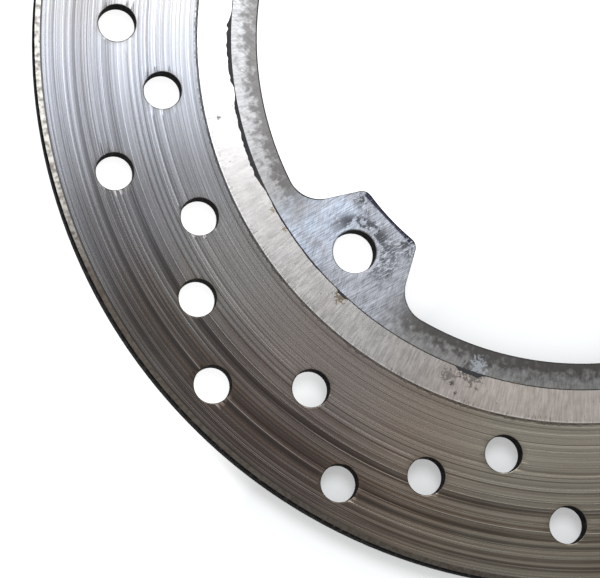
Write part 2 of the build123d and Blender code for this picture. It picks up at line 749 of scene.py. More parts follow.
class Recipe(Wiring):
    """One steel or dirt material, with the disc's own measures to hand.

    Attributes:
        radius: Distance from the axle in mm.
        across: Cosine of the angle round the axle.
        upward: Sine of the angle round the axle.
        side: 1 on the upper face and -1 on the lower one.
    """

    def __init__(self, name: str) -> None:
        """Starts an empty material that reads the piece's own coordinates."""
        self.material = bpy.data.materials.new(name)
        super().__init__(self.material)
        self.shader = self.node("BsdfPrincipled")
        self.feed(self.node("OutputMaterial").inputs["Surface"], self.shader.outputs["BSDF"])
        self.place = self.shade(self.node("TexCoord").outputs["Object"], 1 / MM)
        split = self.node("SeparateXYZ")
        self.feed(split.inputs[0], self.place)
        self.x, self.y, self.z = split.outputs
        self.radius = self.length(self.x, self.y)
        self.across = self.calc(Op.DIVIDE, self.x, self.radius)
        self.upward = self.calc(Op.DIVIDE, self.y, self.radius)
        self.side = self.calc(Op.SIGN, self.z)

    def total(self, *values: Value) -> Socket:
        """Adds several values up."""
        result = values[0]
        for value in values[1:]:
            result = self.calc(Op.ADD, result, value)
        return result

    def product(self, *values: Value) -> Socket:
        """Multiplies several values."""
        result = values[0]
        for value in values[1:]:
            result = self.calc(Op.MULTIPLY, result, value)
        return result

    def less(self, value: Value) -> Socket:
        """Gives what a share leaves of one."""
        return self.calc(Op.SUBTRACT, 1.0, value)

    def length(self, x: Value, y: Value) -> Socket:
        """Gives the length of a flat step."""
        return self.calc(Op.ROOT, self.total(self.product(x, x), self.product(y, y)))

    def blend(self, factor: Value, first: object, second: object) -> Socket:
        """Mixes two colours, from the first at 0 to the second at 1."""
        node = self.node("Mix", data_type="RGBA")
        self.feed(node.inputs["Factor"], factor)
        for socket, value in ((node.inputs[6], first), (node.inputs[7], second)):
            self.feed(socket, (*value, 1) if isinstance(value, tuple) else value)
        return node.outputs[2]

    def shade(self, colour: Socket, amount: Value) -> Socket:
        """Multiplies a colour or a place by an amount."""
        node = self.node("VectorMath", operation="SCALE")
        self.feed(node.inputs[0], colour)
        self.feed(node.inputs["Scale"], amount)
        return node.outputs["Vector"]

    def band(self, value: Value, low: float, high: float, start: float = 0, end: float = 1) -> Socket:
        """Maps a value smoothly from one range to another, and holds it beyond the ends."""
        node = self.node("MapRange", interpolation_type="SMOOTHSTEP")
        return self.spread(node, (value, low, high, start, end))

    def swing(self, grain: Socket, start: float, end: float) -> Socket:
        """Maps a noise to a range."""
        return self.band(grain, *NOISE_RANGE, start, end)

    def vector(self, x: Value, y: Value, z: Value) -> Socket:
        """Puts three values together as a vector."""
        node = self.node("CombineXYZ")
        for socket, value in zip(node.inputs, (x, y, z)):
            self.feed(socket, value)
        return node.outputs[0]

    def grain(self, vector: Socket, scale: float, detail: float = 2, rough: float = 0.55) -> Socket:
        """Gives cloudy noise round 0.5 over a vector."""
        node = self.node("TexNoise")
        self.feed(node.inputs["Vector"], vector)
        node.inputs["Scale"].default_value = scale
        node.inputs["Detail"].default_value = detail
        node.inputs["Roughness"].default_value = rough
        return node.outputs[0]

    def seeded(self, value: Value, seed: float) -> Socket:
        """Shifts a value by a seed, and by another amount on the lower face."""
        return self.total(value, self.product(self.side, 17.0), seed)

    def blotch(self, size: float, seed: float, detail: float = 3) -> Socket:
        """Gives cloudy noise over the disc, with blotches of a size in mm."""
        depth = self.product(self.seeded(0.0, seed), size)
        return self.grain(self.vector(self.x, self.y, depth), 1 / size, detail)

    def streak(self, width: float, length: float, seed: float, detail: float = 2) -> Socket:
        """Gives noise drawn out in circles round the axle.

        Args:
            width: Radial width of a streak in mm.
            length: Length of a streak, as a share of a full turn.
            seed: Sets one pattern apart from the next.
            detail: Octaves of noise.

        Returns:
            The noise, round 0.5.
        """
        along = 1 / (math.tau * length)
        fast = self.seeded(self.calc(Op.DIVIDE, self.radius, width), seed)
        first = self.total(self.product(self.across, along), self.product(fast, 0.41))
        second = self.total(self.product(self.upward, along), self.product(fast, 0.73))
        return self.grain(self.vector(fast, first, second), 0.8, detail)

    def spokes(self, width: float, length: float, seed: float, detail: float = 2) -> Socket:
        """Gives noise drawn out along the radius, as a cup grinder leaves it.

        Args:
            width: Width of a mark in mm, at 70 mm from the axle.
            length: Radial length of a mark in mm.
            seed: Sets one pattern apart from the next.
            detail: Octaves of noise.

        Returns:
            The noise, round 0.5.
        """
        around = 70 / width
        first, second = self.product(self.across, around), self.product(self.upward, around)
        slow = self.seeded(self.calc(Op.DIVIDE, self.radius, length), seed)
        slanted = self.total(slow, self.product(first, 0.37), self.product(second, 0.59))
        return self.grain(self.vector(slanted, first, second), 1.0, detail)

    def toward(self, angle: float, fade: float) -> Socket:
        """Gives 1 in one direction from the axle, and 0 further round from it.

        Args:
            angle: The direction in degrees from +X.
            fade: How many degrees to either side it takes to fade out.

        Returns:
            The share, from 0 to 1.
        """
        turn = math.radians(angle)
        lead = self.total(
            self.product(self.across, math.cos(turn)), self.product(self.upward, math.sin(turn))
        )
        return self.band(lead, math.cos(math.radians(fade)), 1.0)

    def tint_and_paint_light(self, colour: Socket, tints_and_light: Iterable[TintAndLight]) -> Socket:
        """Lets a colour shift from tint to tint round the disc, and paints light and shade on it by
        direction.
        """
        for tint in tints_and_light:
            node = self.node("VectorMath", operation="MULTIPLY")
            self.feed(node.inputs[0], colour)
            self.feed(node.inputs[1], tint.colour)
            colour = self.blend(self.toward(tint.angle, tint.fade), colour, node.outputs[0])
        return colour

    def lug_place(self, lugs: int) -> tuple[Socket, Socket, Socket]:
        """Gives a point's place on its nearest lug.

        Args:
            lugs: How many lugs the disc has.

        Returns:
            Distance out along the lug, distance across it, both in mm, and the lug's number.
        """
        pitch = math.tau / lugs
        angle = self.calc(Op.ANGLE, self.y, self.x)
        lug = self.calc(Op.WHOLE, self.calc(Op.DIVIDE, angle, pitch))
        rest = self.calc(Op.SUBTRACT, angle, self.product(lug, pitch))
        out = self.product(self.radius, self.calc(Op.COSINE, rest))
        aside = self.product(self.radius, self.calc(Op.SINE, rest))
        return out, aside, lug

    def apart(self, x: Value, y: Value, radius: float, turn: float) -> Socket:
        """Gives the distance in mm from one point, told by its radius and its turn in radians."""
        step_x = self.calc(Op.SUBTRACT, x, radius * math.cos(turn))
        step_y = self.calc(Op.SUBTRACT, y, radius * math.sin(turn))
        return self.length(step_x, step_y)

    def stained(self, colour: Socket, stains: Iterable[Stain]) -> Socket:
        """Lays ragged spots on a colour, one over the other."""
        for stain in stains:
            size = stain.size
            seed = stain.radius if stain.seed is None else stain.seed
            ragged = self.swing(self.blotch(size * 0.45, seed), -0.8 * size, 0.8 * size)
            away = self.apart(self.x, self.y, stain.radius, math.radians(stain.angle))
            spot = self.band(self.total(away, ragged), size * 0.75, size, 1, 0)
            share = self.product(spot, self.band(self.side, 0.2, 0.8), stain.cover)
            colour = self.blend(share, colour, stain.colour)
        return colour

    def bump(self, height: Value, distance: float) -> None:
        """Roughens the surface by a height, whose full range is a distance in mm."""
        node = self.node("Bump")
        node.inputs["Strength"].default_value = 1.0
        node.inputs["Distance"].default_value = distance * MM
        self.feed(node.inputs["Height"], height)
        self.feed(self.shader.inputs["Normal"], node.outputs["Normal"])

    def brush(self, way: Brushing, amount: float) -> None:
        """Stretches the gloss across the finest scratches."""
        node = self.node("Tangent", direction_type="RADIAL", axis="Z")
        self.shader.inputs["Anisotropic"].default_value = amount
        self.shader.inputs["Anisotropic Rotation"].default_value = way.value
        self.feed(self.shader.inputs["Tangent"], node.outputs["Tangent"])

    def finish(self, colour: object, rough: object, metal: object) -> bpy.types.Material:
        """Connects colour, roughness and metalness, and returns the material."""
        tint = (*colour, 1) if isinstance(colour, tuple) else colour
        self.feed(self.shader.inputs["Base Color"], tint)
        self.feed(self.shader.inputs["Roughness"], rough)
        self.feed(self.shader.inputs["Metallic"], metal)
        return self.material


@dataclass(frozen=True)
class SweptFinish:
    """Steel of the band that the pads sweep, scored in circles and stained by their film."""

    sizes: DiscSizes
    steel: Colour = (0.138, 0.132, 0.125)
    film: Colour = (0.034, 0.030, 0.028)
    brown: Colour = (0.052, 0.041, 0.034)
    bright: Colour = (0.240, 0.232, 0.224)
    dust: Colour = (0.072, 0.056, 0.040)
    # Painted light and shade as tints: brighter towards 166° and 262° as painted highlight, darker
    # towards 230° as painted shade; the rest is tint.
    tints_and_light: tuple[TintAndLight, ...] = (
        TintAndLight(166, 28, (1.62, 1.67, 1.75)),
        TintAndLight(186, 20, (0.97, 1.02, 1.12)),
        TintAndLight(230, 22, (1.03, 0.93, 0.90)),
        TintAndLight(262, 36, (1.34, 1.28, 1.10)),
        TintAndLight(320, 30, (0.97, 1.02, 1.12)),
        TintAndLight(30, 36, (1.06, 1.02, 0.92)),
        TintAndLight(105, 34, (1.04, 0.95, 0.91)),
    )

    def material(self) -> bpy.types.Material:
        """Makes the material."""
        r = Recipe("swept_steel")
        fine = r.streak(0.30, 0.5, 1.9)
        hair = r.streak(0.14, 0.22, 5.3)
        grooves = self._grooves(r)
        film = self._film_and_painted_light(r, grooves, fine)
        # Painted highlight: the film is halved towards 172°.
        film = r.product(film, r.less(r.product(r.toward(172, 34), 0.5)))
        dirt = r.blend(r.band(r.streak(1.4, 0.7, 30.0), 0.42, 0.60), self.film, self.brown)
        colour = r.blend(film, self.steel, dirt)
        scratch = r.product(r.band(r.streak(0.26, 0.12, 21.4, 1), 0.62, 0.72), 0.6)
        colour = r.blend(scratch, colour, self.bright)
        dark_line = r.product(r.band(r.streak(0.36, 0.8, 14.2, 1), 0.60, 0.70), 0.6)
        colour = r.blend(dark_line, colour, self.film)
        colour = r.shade(colour, r.swing(hair, 0.80, 1.20))
        # Painted light and shade by direction, together with the tints.
        colour = r.tint_and_paint_light(colour, self.tints_and_light)
        colour = r.blend(self._dust(r), colour, self.dust)
        colour = r.blend(self._edge(r), colour, self.film)
        relief = r.total(r.product(fine, 0.5), r.product(hair, 0.35), r.product(grooves, -0.5))
        r.bump(relief, 0.010)
        r.brush(Brushing.ROUND, 0.6)
        rough = r.total(r.swing(fine, 0.19, 0.27), r.product(film, 0.05))
        return r.finish(colour, rough, 1.0)

    def _grooves(self, r: Recipe) -> Socket:
        """Says how deep the surface is scored, from 0 to 1, from the table of scores."""
        depth = 0.0
        deepest = max(score.depth for score in SCORES)
        wander = r.swing(r.streak(6.0, 0.12, 60.0), -0.15, 0.15)
        for score in SCORES:
            away = r.calc(Op.SIZE, r.calc(Op.SUBTRACT, r.total(r.radius, wander), score.radius))
            share = max(score.depth, 0) / deepest
            if share:
                depth = r.calc(Op.HIGHER, depth, r.band(away, score.width * 0.2, score.width, share, 0))
        return depth

    def _film_and_painted_light(self, r: Recipe, grooves: Socket, fine: Socket) -> Socket:
        """Says how thick the pads' dark film is, from 0 to 1, thinned towards 166° as painted highlight
        and thickened towards 218° as painted shade.
        """
        fading = r.band(r.streak(6.0, 0.25, 41.0), 0.38, 0.62, 0.45, 1.0)
        return r.calc(
            Op.ADD,
            r.total(
                r.band(r.radius, 81, 102, 0.0, 0.56),
                # Painted shade towards 218°, and painted highlight towards 166° in the line after.
                r.product(r.band(r.radius, 84, 98, 0.0, 0.20), r.toward(218, 26)),
                r.product(r.toward(166, 30), -0.22),
                r.product(grooves, fading, 0.48),
                r.swing(r.streak(2.6, 0.8, 3.1), -0.18, 0.20),
                r.swing(r.streak(0.9, 0.6, 8.7), -0.20, 0.22),
                r.swing(fine, -0.16, 0.16),
            ),
            r.band(r.blotch(30, 2.0), 0.35, 0.65, -0.06, 0.12),
            clamp=True,
        )

    def _dust(self, r: Recipe) -> Socket:
        """Masks the brown brake dust round the mouths of the vent holes."""
        u, v, _ = r.lug_place(self.sizes.lugs)
        rows = len(self.sizes.vent_rows)
        pitch = math.tau / (self.sizes.lugs * rows)
        places = self.sizes.vent_places()
        nearest = self.sizes.rim_r / MM
        for column in range(-rows // 2, rows // 2 + 1):
            away = r.apart(u, v, places[column % rows][0] / MM, column * pitch)
            nearest = r.calc(Op.LOWER, nearest, away)
        edge = self.sizes.vent_hole_r / MM
        ragged = r.total(nearest, r.swing(r.blotch(3.5, 7.0, 1), -0.25, 0.25))
        return r.product(r.band(ragged, edge + 0.1, edge + 1.3, 1, 0), 0.25)

    def _edge(self, r: Recipe) -> Socket:
        """Masks the dark broken line at the foot of the step up to the inner land."""
        inner = self.sizes.swept_inner_r / MM
        ragged = r.total(r.radius, r.swing(r.spokes(0.7, 2.0, 8.0), -0.15, 0.25))
        line = r.product(
            r.band(ragged, inner + 0.2, inner + 0.35), r.band(ragged, inner + 0.45, inner + 0.8, 1, 0)
        )
        return r.product(line, r.band(r.blotch(6, 18.0), 0.35, 0.6, 0.25, 0.75))


@dataclass(frozen=True)
class LandFinish:
    """Steel of the unworn rings on both sides of the swept band, ground along the radius."""

    sizes: DiscSizes
    ground: Colour = (0.260, 0.248, 0.236)
    pale: Colour = (0.296, 0.286, 0.276)
    rim_dirt: Colour = (0.044, 0.035, 0.027)
    rim_lit_speckle: Colour = (0.416, 0.400, 0.360)
    soot: Colour = (0.028, 0.026, 0.024)
    rust: Colour = (0.120, 0.092, 0.056)
    warm: Colour = (0.260, 0.228, 0.212)
    # Colour of the painted highlight along the wear edge.
    wear_edge_highlight: Colour = (0.496, 0.488, 0.480)
    # Painted highlight: brighter towards 174° and 264°.
    tints_and_light: tuple[TintAndLight, ...] = (TintAndLight(174, 32, (1.4, 1.4, 1.43)), TintAndLight(264, 30, (1.40, 1.38, 1.34)))
    stains: tuple[Stain, ...] = (
        Stain(70.9, 202.0, 0.6, rust),
        Stain(70.9, 205.5, 0.5, rust),
        Stain(71.2, 219.8, 1.1, rust),
        Stain(71.0, 243.2, 1.1, (0.085, 0.074, 0.064)),
        Stain(71.6, 245.2, 1.5, (0.130, 0.116, 0.105)),
        Stain(72.6, 241.0, 1.2, (0.140, 0.125, 0.113)),
        Stain(74.6, 185.2, 0.45, soot),
        Stain(73.9, 242.0, 0.45, soot),
        Stain(75.6, 243.0, 0.35, soot),
        Stain(71.3, 20.0, 1.6, rust),
        Stain(71.0, 118.0, 1.1, rust),
        Stain(71.4, 312.0, 1.5, (0.176, 0.136, 0.104)),
    )

    def material(self) -> bpy.types.Material:
        """Makes the material."""
        r = Recipe("land_steel")
        marks = r.spokes(0.34, 2.4, 12.0)
        soft = r.spokes(1.6, 5.0, 2.0)
        land = r.blend(r.band(r.blotch(16, 15.0), 0.35, 0.65), self.ground, self.pale)
        land = r.blend(r.product(r.toward(252, 24), 0.7), land, self.warm)
        land = r.shade(land, r.swing(marks, 0.94, 1.05))
        land = r.shade(land, r.swing(soft, 0.95, 1.04))
        land = r.shade(land, r.swing(r.blotch(2.2, 27.0), 0.93, 1.05))
        land = r.blend(r.product(r.band(r.blotch(0.7, 44.0, 1), 0.72, 0.78), 0.6), land, self.soot)
        inner = self.sizes.swept_inner_r / MM
        ragged = r.total(r.radius, r.product(marks, 0.5))
        # Painted highlight: a bright thin ring along the land's edge at the swept band.
        land = r.blend(r.band(ragged, inner - 0.1, inner + 0.2, 0, 0.35), land, self.wear_edge_highlight)
        # Painted highlight by direction, with a slight tint.
        land = r.tint_and_paint_light(land, self.tints_and_light)
        ticks = r.product(
            r.band(r.spokes(0.20, 1.0, 51.0), 0.52, 0.62),
            r.band(r.blotch(5, 90.0), 0.35, 0.6),
            r.band(ragged, inner - 1.1, inner - 0.3),
            0.45,
        )
        land = r.blend(ticks, land, self.soot)
        land = r.stained(land, self.stains)
        outer = r.band(r.radius, inner + 3, inner + 4)
        colour = r.blend(outer, land, self._rim(r))
        rough = r.total(r.swing(marks, 0.20, 0.27), r.product(outer, 0.12))
        r.bump(r.total(r.product(marks, 0.4), r.product(r.blotch(1.2, 33.0), outer, 0.5)), 0.006)
        r.brush(Brushing.RADIAL, 0.35)
        return r.finish(colour, rough, 1.0)

    def _rim(self, r: Recipe) -> Socket:
        """Colours the narrow ring outside the swept band, its pale speckle painted as a highlight towards
        174°.
        """
        speckle = r.band(r.blotch(1.1, 70.0, 4), 0.36, 0.60, 0.30, 1)
        # Painted highlight: the pale speckle shows mostly towards 174°.
        pale = r.product(speckle, r.total(0.08, r.product(r.toward(174, 26), 0.92)))
        return r.blend(pale, self.rim_dirt, self.rim_lit_speckle)


@dataclass(frozen=True)
class SeatFinish:
    """Steel of the hub seat and the lugs: cross-ground, with the print of the hub and bolts."""

    sizes: DiscSizes
    silver: Colour = (0.196, 0.201, 0.218)
    blue: Colour = (0.222, 0.247, 0.287)
    grey: Colour = (0.149, 0.146, 0.142)
    dark: Colour = (0.050, 0.047, 0.044)
    dirt: Colour = (0.036, 0.036, 0.040)
    bare: Colour = (0.336, 0.344, 0.368)
    navy_reflection: Colour = (0.012, 0.011, 0.024)
    # Painted light: brighter towards 170° and 35°.
    tints_and_light: tuple[TintAndLight, ...] = (TintAndLight(170, 40, (1.75, 1.76, 1.80)), TintAndLight(35, 45, (1.25, 1.25, 1.22)))
    stains: tuple[Stain, ...] = (
        Stain(68.9, 245.2, 1.5, (0.336, 0.360, 0.400), cover=0.5, seed=5.0),
        Stain(69.7, 243.4, 0.9, (0.048, 0.040, 0.036), cover=0.7, seed=3.0),
    )

    def material(self) -> bpy.types.Material:
        """Makes the material."""
        r = Recipe("hub_seat_steel")
        u, v, lug = r.lug_place(self.sizes.lugs)
        on_lug = r.band(r.calc(Op.SIZE, v), 9.0, 21.0, 1, 0)
        scratch = self._scratches(r, u, v, lug, -13, 5.0, 0.22)
        crossing = self._scratches(r, u, v, lug, 35, 3.0, 0.24)
        marks = r.spokes(0.45, 2.2, 40.0)
        mottled = r.blotch(1.3, 50.0, 4)
        out = r.calc(Op.SUBTRACT, u, self.sizes.bolt_r / MM)
        bluish = r.product(r.band(v, -9.0, 1.0, 1, 0), r.band(r.blotch(7, 71.0), 0.35, 0.6))
        lug_steel = r.blend(bluish, self.silver, self.blue)
        steel = r.blend(on_lug, self.grey, lug_steel)
        lines = r.product(r.swing(scratch, 0.66, 1.40), r.swing(crossing, 0.82, 1.20))
        steel = r.shade(steel, r.total(r.product(lines, on_lug), r.less(on_lug)))
        steel = r.shade(steel, r.swing(marks, 0.84, 1.16))
        steel = r.shade(steel, r.swing(mottled, 0.90, 1.10))
        bore = self.sizes.bore_r / MM
        ragged = r.total(r.radius, r.swing(r.blotch(1.6, 9.0, 4), -1.7, 1.7))
        shade = r.product(r.band(ragged, bore + 1.0, bore + 4.6, 0.92, 0), r.less(on_lug))
        steel = r.blend(shade, steel, self.dark)
        # Painted light by direction, with a slight tint.
        steel = r.tint_and_paint_light(steel, self.tints_and_light)
        steel = r.blend(self._print(r, out, v, lug), steel, self.dirt)
        # Painted reflection: a dark blue line across each lug's tip, along its broken edge.
        beside = r.band(r.calc(Op.SIZE, v), 6.6, 7.4, 1, 0)
        tip_dark_reflection = r.product(r.band(out, -9.40, -9.20, 1, 0), beside, 0.95)
        steel = r.blend(tip_dark_reflection, steel, self.navy_reflection)
        steel = r.blend(self._scars(r, u, v, lug, on_lug), steel, self.bare)
        steel = r.stained(steel, self.stains)
        rough = r.total(r.swing(scratch, 0.24, 0.34), r.swing(mottled, 0.0, 0.06))
        relief = r.total(r.product(scratch, on_lug, 0.5), r.product(mottled, 0.4), r.product(marks, 0.3))
        r.bump(relief, 0.012)
        r.brush(Brushing.RADIAL, 0.3)
        return r.finish(steel, rough, 1.0)

    def _scratches(
        self, r: Recipe, u: Socket, v: Socket, lug: Socket, slant: float, length: float, width: float
    ) -> Socket:
        """Draws straight grinding scratches that cross each lug at a slant in degrees."""
        c, s = math.cos(math.radians(slant)), math.sin(math.radians(slant))
        along = r.total(r.product(u, c / length), r.product(v, s / length))
        across = r.total(r.product(v, c / width), r.product(u, -s / width))
        depth = r.total(r.product(lug, 9.0), r.side, slant)
        return r.grain(r.vector(r.total(along, r.product(across, 0.43)), across, depth), 1.0)

    def _scars(self, r: Recipe, u: Socket, v: Socket, lug: Socket, on_lug: Socket) -> Socket:
        """Masks the few bright scratches on each lug, and the scuffs beside its hole."""
        lines = self._scratches(r, u, v, r.total(lug, 3.0), -11, 2.6, 0.24)
        scuffs = self._scratches(r, u, v, r.total(lug, 7.0), -6, 0.9, 0.30)
        tipward = r.band(r.calc(Op.SUBTRACT, u, self.sizes.bolt_r / MM), 0.0, 3.0, 1, 0)
        beside = r.product(r.band(v, 2.0, 4.5), r.band(v, 7.5, 9.5, 1, 0), tipward)
        scuffed = r.product(r.band(scuffs, 0.54, 0.62, 0, 0.7), beside)
        return r.product(r.calc(Op.HIGHER, r.band(lines, 0.60, 0.72, 0, 0.6), scuffed), on_lug)

    def _print(self, r: Recipe, out: Socket, v: Socket, lug: Socket) -> Socket:
        """Masks the dirt that the bolt's flange has left on the tip side of each hole."""
        reach = r.length(out, v)
        clear = r.band(reach, 4.9, 5.3)
        ring = r.product(r.band(reach, 6.4, 8.6, 1, 0), r.band(out, -3.5, 2.0, 1, 0))
        tip = r.product(r.band(out, -9.6, -8.8, 0, 1), r.band(out, -8.0, -5.6, 1, 0))
        aside = r.calc(Op.SIZE, v)
        corners = r.product(r.band(aside, 2.5, 4.5), r.band(aside, 8.5, 10.0, 1, 0))
        where = r.calc(Op.HIGHER, ring, r.product(tip, corners))
        flat = r.vector(out, v, r.product(lug, 13.0))
        patches = r.band(r.grain(flat, 0.42, 4, 0.7), 0.45, 0.51)
        specks = r.band(r.grain(flat, 1.1, 3, 0.6), 0.46, 0.54)
        rightward = r.product(
            r.band(v, 1.5, 4.0), r.band(reach, 7.5, 10.5, 1, 0), r.band(out, -0.5, 2.5, 1, 0)
        )
        cover = r.calc(Op.HIGHER, patches, r.product(specks, rightward, 0.8))
        spread = r.calc(Op.HIGHER, where, r.product(rightward, 0.8))
        return r.product(clear, spread, cover, 0.92)


@dataclass(frozen=True)
class CutFinish:
    """Dull, sooty steel of the rim, the bore's wall and the walls of the holes."""

    soot: Colour = (0.006, 0.006, 0.007)
    bare: Colour = (0.038, 0.034, 0.031)
    rust: Colour = (0.085, 0.048, 0.026)

    def material(self) -> bpy.types.Material:
        """Makes the material."""
        r = Recipe("cut_edge_steel")
        patches = r.grain(r.place, 0.9, 4, 0.6)
        fine = r.grain(r.place, 4.0, 3, 0.6)
        colour = r.blend(r.band(patches, 0.50, 0.70), self.soot, self.bare)
        colour = r.blend(r.band(fine, 0.60, 0.72, 0, 0.5), colour, self.rust)
        r.bump(r.total(patches, r.product(fine, 0.5)), 0.05)
        r.shader.inputs["Specular IOR Level"].default_value = 0.03
        return r.finish(colour, r.swing(fine, 0.75, 0.90), 0.0)


@dataclass(frozen=True)
class CrustFinish:
    """Black crust of brake dust and rust, baked into the step of the hub seat."""

    black: Colour = (0.016, 0.016, 0.020)
    brown: Colour = (0.085, 0.055, 0.032)

    def material(self) -> bpy.types.Material:
        """Makes the material."""
        r = Recipe("seam_crust")
        patches = r.grain(r.place, 0.35, 3, 0.6)
        fine = r.grain(r.place, 5.0, 3, 0.6)
        brown = r.product(r.band(patches, 0.54, 0.66), r.less(r.product(r.toward(184, 22), 0.9)))
        colour = r.blend(brown, self.black, self.brown)
        colour = r.shade(colour, r.swing(fine, 0.7, 1.4))
        r.bump(fine, 0.05)
        return r.finish(colour, r.swing(fine, 0.55, 0.8), 0.0)


class Zone(Enum):
    """Parts of the disc's surface that have a finish of their own, as material slots."""

    SWEPT = 0
    LAND = 1
    SEAT = 2
    CUT = 3


@dataclass(frozen=True)
class Wardrobe:
    """Dresses the disc: every face gets the finish of its zone.

    A face's slope is told by how upright its normal stands, from 0 for a wall to 1 for a level face.

    Attributes:
        sizes: The sizes that bound the zones.
        wall: Faces steeper than this are walls.
        mouth: Faces of the swept band steeper than this belong to the vent holes' mouths.
        broken: Faces of the lugs steeper than this belong to their broken edges.
        bolt_clear: Radius round each bolt hole in which no edge is dark.
    """

    sizes: DiscSizes
    wall: float = 0.4
    mouth: float = 0.85
    broken: float = 0.97
    bolt_clear: float = 6 * MM

    def zone(self, place: Vector, normal: Vector) -> Zone:
        """Tells which zone a face belongs to by its middle and its normal."""
        sizes = self.sizes
        reach, upright = math.hypot(place.x, place.y), abs(normal.z)
        on_band = sizes.swept_inner_r < reach < sizes.swept_outer_r
        # The painted dark edges take the sooty finish, as their dark reflection.
        if upright < (self.mouth if on_band else self.wall) or self._is_painted_dark_edge(place, normal):
            return Zone.CUT
        if reach > sizes.rim_r - sizes.rim_chamfer * 1.1:
            return Zone.CUT
        if reach < sizes.seat_r:
            return Zone.SEAT
        return Zone.SWEPT if on_band else Zone.LAND

    def _is_painted_dark_edge(self, place: Vector, normal: Vector) -> bool:
        """Tells the broken edges that are painted black as their dark reflection: the lugs' tips and one
        of their flanks.
        """
        sizes = self.sizes
        reach = math.hypot(place.x, place.y)
        pitch = math.tau / sizes.lugs
        turn = math.atan2(place.y, place.x)
        side = turn - round(turn / pitch) * pitch
        tip = reach < sizes.tip_r + 2 * sizes.edge_break
        flank = reach < sizes.bore_r - 0.2 * MM and side * reach < -sizes.lug_tip_half * 1.5
        away = math.hypot(reach * math.cos(side) - sizes.bolt_r, reach * math.sin(side))
        return abs(normal.z) < self.broken and (tip or flank) and away >= self.bolt_clear

    def dress(self, disc: bpy.types.Object) -> None:
        """Gives the disc its finishes, by each face's place and slope."""
        sizes = self.sizes
        finishes = (SweptFinish(sizes), LandFinish(sizes), SeatFinish(sizes), CutFinish())
        disc.data.materials.clear()
        for finish in finishes:
            disc.data.materials.append(finish.material())
        for face in disc.data.polygons:
            face.material_index = self.zone(face.center, face.normal).value


# ---------------------------------------------------------------------------------------------
# Crust
# ---------------------------------------------------------------------------------------------


@dataclass(frozen=True)
class CrustPatch:
    """A stretch where the crust is broader.

    Attributes:
        angle: Direction of its middle from the axle, in degrees.
        spread: Degrees from its middle to its end.
        width: How much broader the crust is there, in mm.
    """

    angle: float
    spread: float
    width: float


UPPER_PATCHES = (
    CrustPatch(174.6, 6.2, 0.85),
    CrustPatch(190.3, 8.4, 0.80),
    CrustPatch(219.8, 1.2, 0.45),
    CrustPatch(207.0, 10.0, 0.14),
    CrustPatch(244.2, 2.6, 0.75),
    CrustPatch(290.0, 9.0, 0.35),
    CrustPatch(345.0, 14.0, 0.45),
    CrustPatch(52.0, 10.0, 0.40),
    CrustPatch(110.0, 16.0, 0.50),
)
LOWER_PATCHES = (
    CrustPatch(20.0, 12.0, 0.45),
    CrustPatch(150.0, 9.0, 0.40),
    CrustPatch(235.0, 15.0, 0.50),
    CrustPatch(310.0, 7.0, 0.40),
)


@dataclass
class SeamCrust:
    """Crust in the step round the hub seat, on one face of the disc."""

    sizes: DiscSizes
    name: str
    side: int
    patches: tuple[CrustPatch, ...]
    points: int = 1440
    thin: float = 0.13
    seed: float = 3.0

    def build(self) -> bpy.types.Object:
        """Turns the crust as a low closed ring and makes its outer edge ragged.

        Returns:
            The crust.
        """
        sizes = self.sizes
        sink = 0.02 * MM
        inner, step = sizes.seat_r - sink, self.thin * MM
        low, high = sizes.blade_face - sink, sizes.seat_face - sink / 2
        path = [
            (inner, low),
            (inner, high),
            (inner + step * 0.5, high - 0.03 * MM),
            (inner + step, low + 0.05 * MM),
            (inner + step * 1.1, low),
        ]
        Bench.clear()
        bpy.ops.mesh.primitive_circle_add(vertices=self.points, radius=inner, location=(0, 0, low))
        piece = bpy.context.object
        piece.name = self.name
        bpy.ops.object.transform_apply(location=True, rotation=True, scale=True)
        Bench.open("EDGE")
        bpy.ops.mesh.select_all(action="SELECT")
        Bench.turn_loops(path)
        Bench.pick_edges(piece, lambda one, other: self._is_foot(one, other, low))
        bpy.ops.mesh.bridge_edge_loops()
        Bench.close()
        self._roughen(piece, inner)
        Bench.take(piece)
        Bench.open()
        if self.side < 0:
            bpy.ops.mesh.select_all(action="SELECT")
            bpy.ops.transform.resize(value=(1, 1, -1), center_override=(0, 0, 0))
        Bench.face_outwards()
        Bench.close()
        Bench.smooth(piece, 40)
        piece.data.materials.append(CrustFinish().material())
        return piece

    @staticmethod
    def _is_foot(one: Vector, other: Vector, low: float) -> bool:
        """Tells the two rings of edges that lie on the blade."""
        level = all(abs(point.z - low) < SAME_HEIGHT for point in (one, other))
        return level and abs(one.xy.length - other.xy.length) < SAME_RADIUS

    def _width(self, turn: float) -> float:
        """Gives the crust's width in one direction, in mm."""
        place = Vector((math.cos(turn), math.sin(turn), 0)) * self.sizes.seat_r / MM
        ragged = noise.noise(place * 1.1 + Vector((0, 0, self.seed)))
        broad = noise.noise(place * 0.35 + Vector((0, 0, self.seed + 5)))
        width = self.thin + 0.05 * ragged
        for patch in self.patches:
            away = abs((math.degrees(turn) - patch.angle + 180) % 360 - 180) / patch.spread
            if away < 1:
                share = min(1.0, (1 - away) * 3)
                width += patch.width * share * (0.75 + 0.35 * ragged + 0.35 * broad)
        return max(width, 0.06)

    def _roughen(self, piece: bpy.types.Object, inner: float) -> None:
        """Spreads the ring's points outwards to the crust's width in each direction."""
        for vertex in piece.data.vertices:
            reach = vertex.co.xy.length - inner
            if reach > SAME_RADIUS:
                width = self._width(math.atan2(vertex.co.y, vertex.co.x))
                grown = (inner + reach * width / self.thin) / vertex.co.xy.length
                vertex.co.x *= grown
                vertex.co.y *= grown


# ---------------------------------------------------------------------------------------------
# Studio
# ---------------------------------------------------------------------------------------------


